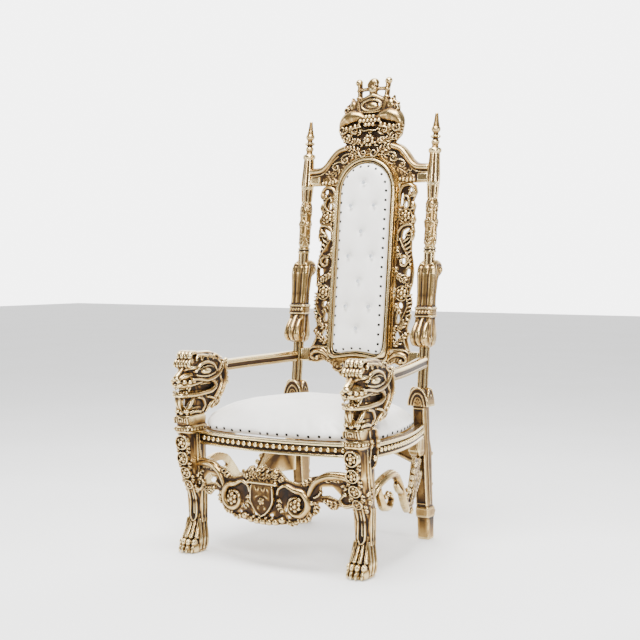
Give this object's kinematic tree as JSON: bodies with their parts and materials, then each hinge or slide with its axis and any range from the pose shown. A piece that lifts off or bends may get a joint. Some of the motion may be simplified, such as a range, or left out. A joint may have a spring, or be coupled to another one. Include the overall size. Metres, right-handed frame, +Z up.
{
  "type": "carved throne chair",
  "caption": "High-backed throne with lion-headed front legs, pierced scroll carving, turned posts, a crowned crest, and padded white seat and back.",
  "frame": {"origin": "on the floor, under the middle of the throne's bounding box", "axes": "+Z up, the sitter faces -Y, +X is on the sitter's left"},
  "size_m": [0.804, 0.8402, 1.8],
  "materials": {
    "gilt_wood": "carved wood with an antique gold finish, brown glaze in the hollows",
    "white_leather": "smooth white upholstery leather over padding",
    "crystal": "faceted clear buttons",
    "nailheads": "small domed steel nail heads, darkened"
  },
  "bodies": {
    "root": {"front_leg_right": "gilt_wood", "front_leg_left": "gilt_wood", "rear_post_right": "gilt_wood", "rear_post_left": "gilt_wood", "seat_rail_front": "gilt_wood", "seat_rail_right": "gilt_wood", "seat_rail_left": "gilt_wood", "seat_rail_back": "gilt_wood", "seat_cushion": "white_leather", "front_apron": "gilt_wood", "side_apron_right": "gilt_wood", "side_apron_left": "gilt_wood", "rear_apron": "gilt_wood", "arm_right": "gilt_wood", "arm_left": "gilt_wood", "back_frame": "gilt_wood", "back_board": "gilt_wood", "back_cushion": "white_leather", "tufting_button_1": "crystal", "tufting_button_2": "crystal", "tufting_button_3": "crystal", "tufting_button_4": "crystal", "tufting_button_5": "crystal", "tufting_button_6": "crystal", "tufting_button_7": "crystal", "tufting_button_8": "crystal", "tufting_button_9": "crystal", "tufting_button_10": "crystal", "fretwork_right": "gilt_wood", "fretwork_left": "gilt_wood", "lower_back_rail": "gilt_wood", "crest_rail": "gilt_wood"}
  },
  "joints": []
}
